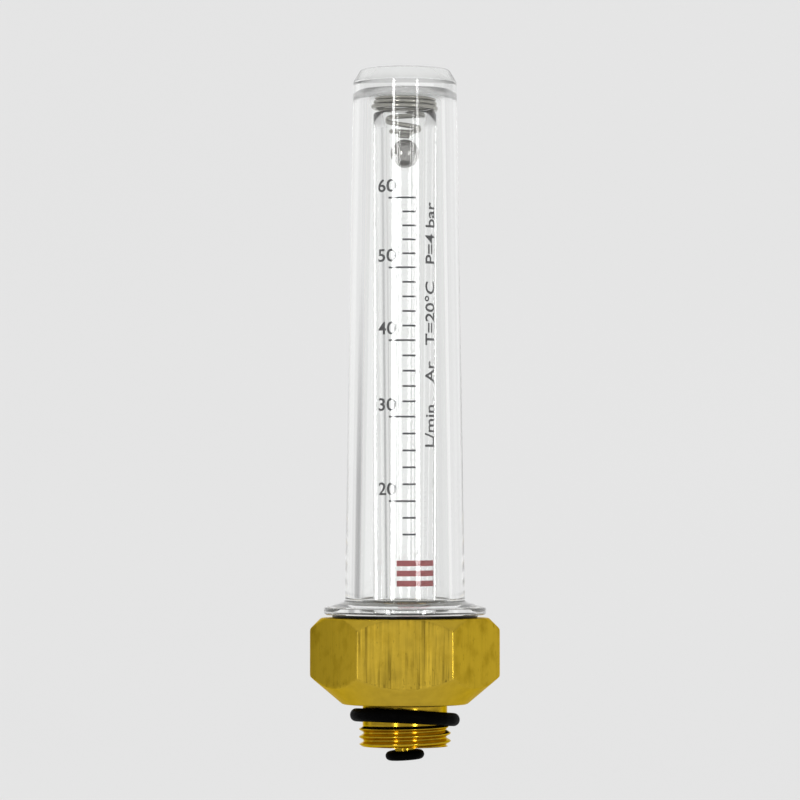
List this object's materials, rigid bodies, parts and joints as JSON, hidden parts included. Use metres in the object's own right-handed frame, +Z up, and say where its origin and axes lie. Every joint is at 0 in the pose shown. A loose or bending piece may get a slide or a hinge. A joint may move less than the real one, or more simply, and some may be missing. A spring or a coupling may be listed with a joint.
{
  "type": "gas regulator flow meter",
  "caption": "Screw-in tube flow meter for a welding gas regulator: steel ball in a tapered clear tube under a clear cover, on a brass hex body with a sealed threaded stub.",
  "frame": {"origin": "on the tube's axis, at the lower end face of the threaded stub, where it screws into the regulator", "axes": "+Z up along the tube to the closed end of the cover; -Y towards the side that carries the printed scale; +X to the right when the scale is read, through a corner of the hexagon"},
  "size_m": [0.037, 0.032, 0.1342],
  "materials": {
    "brass": "machined from drawn hexagon bar, satin",
    "rubber": "smooth black nitrile",
    "clear_plastic": "clear moulded polycarbonate",
    "clear_tube": "clear, polished bore",
    "steel": "polished ball, drawn spring wire",
    "dark_ink": "printed ink",
    "red_ink": "printed ink"
  },
  "bodies": {
    "body": {"brass_body": "brass", "inlet_nozzle": "brass", "stub_seal_ring": "rubber", "nozzle_seal_ring": "rubber", "tube_seat_ring": "rubber", "cover_gasket": "rubber", "flow_tube": "clear_tube", "retaining_spring": "steel", "scale_major_lines": "dark_ink", "scale_minor_lines": "dark_ink", "scale_numerals": "dark_ink", "scale_units": "dark_ink", "red_band_mark": "red_ink"},
    "float": {"float_ball": "steel"},
    "cover": {"clear_cover": "clear_plastic"}
  },
  "joints": [
    {"name": "float_slide", "type": "slide", "parent": "body", "child": "float", "axis": [0, 0, 1], "range_m": [-0.093, 0]},
    {"name": "cover_lift", "type": "slide", "parent": "body", "child": "cover", "axis": [0, 0, 1], "range_m": [0, 0.11]}
  ]
}
